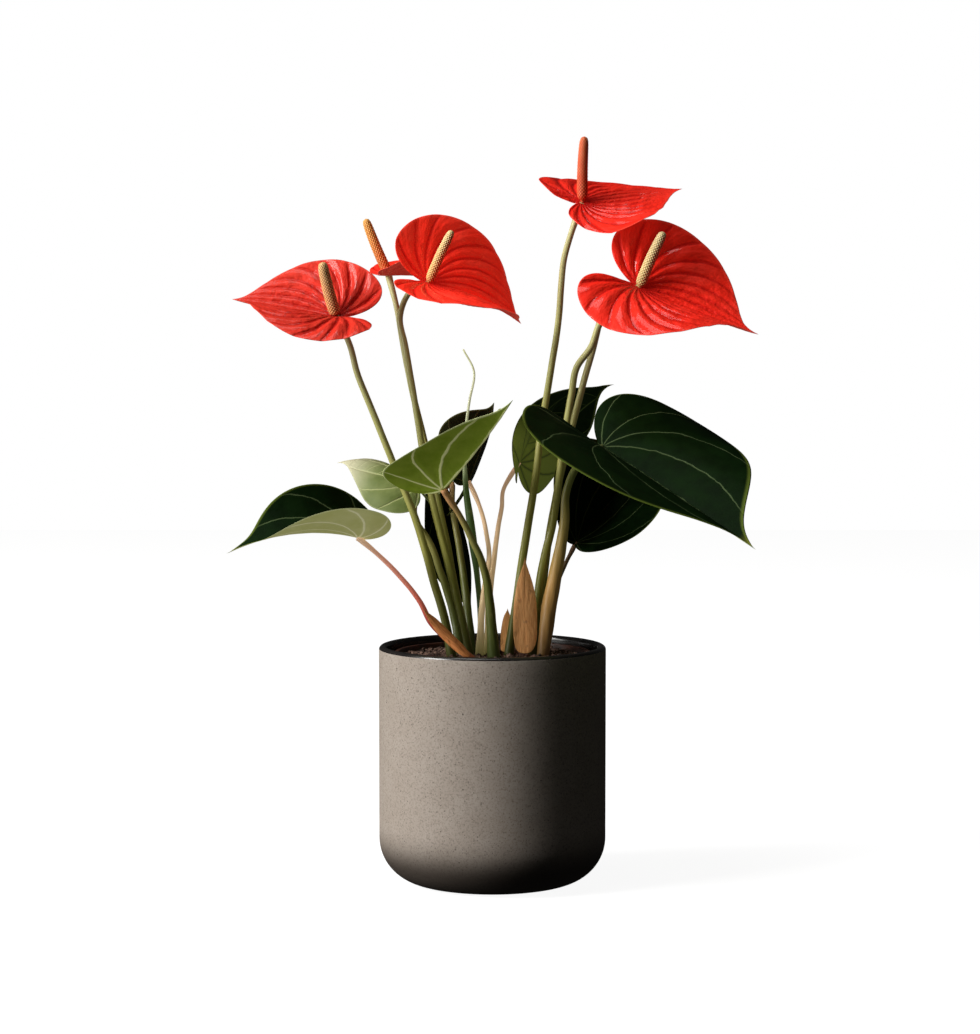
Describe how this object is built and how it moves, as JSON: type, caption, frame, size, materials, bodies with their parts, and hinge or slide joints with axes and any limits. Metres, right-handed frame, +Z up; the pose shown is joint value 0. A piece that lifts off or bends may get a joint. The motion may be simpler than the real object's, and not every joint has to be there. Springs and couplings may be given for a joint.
{
  "type": "potted anthurium",
  "caption": "Potted anthurium with glossy red heart-shaped spathes, upright spadices and dark green leaves, in a round-bottomed stoneware cover pot.",
  "frame": {"origin": "centre of the cover pot's flat base, on the surface that it stands on", "axes": "+Z up, along the pot's axis; +X to the plant's right with the open spathes facing the viewer; +Y to the back"},
  "size_m": [0.3206, 0.2388, 0.4589],
  "materials": {
    "stoneware": "matte",
    "black_plastic": "satin",
    "potting_mix": "matte",
    "spathe_red": "gloss",
    "spadix_cream": "matte",
    "flower_stalk": "satin",
    "leaf_green": "satin",
    "petiole": "satin",
    "dry_sheath": "matte"
  },
  "bodies": {
    "root": {"cover_pot": "stoneware", "nursery_pot": "black_plastic", "potting_mix": "potting_mix", "flower_stalk_1": "flower_stalk", "spathe_1": "spathe_red", "spadix_1": "spadix_cream", "flower_stalk_2": "flower_stalk", "spathe_2": "spathe_red", "spadix_2": "spadix_cream", "flower_stalk_3": "flower_stalk", "spathe_3": "spathe_red", "spadix_3": "spadix_cream", "flower_stalk_4": "flower_stalk", "spathe_4": "spathe_red", "spadix_4": "spadix_cream", "flower_stalk_5": "flower_stalk", "spathe_5": "spathe_red", "spadix_5": "spadix_cream", "bud_stalk": "flower_stalk", "flower_bud": "spathe_red", "petiole_1": "petiole", "leaf_1": "leaf_green", "petiole_2": "petiole", "leaf_2": "leaf_green", "petiole_3": "petiole", "leaf_3": "leaf_green", "petiole_4": "petiole", "leaf_4": "leaf_green", "petiole_5": "petiole", "leaf_5": "leaf_green", "petiole_6": "petiole", "leaf_6": "leaf_green", "petiole_7": "petiole", "leaf_7": "leaf_green", "petiole_8": "petiole", "leaf_8": "leaf_green", "young_leaf": "leaf_green", "dry_sheath_1": "dry_sheath", "dry_sheath_2": "dry_sheath", "dry_sheath_3": "dry_sheath"}
  },
  "joints": []
}
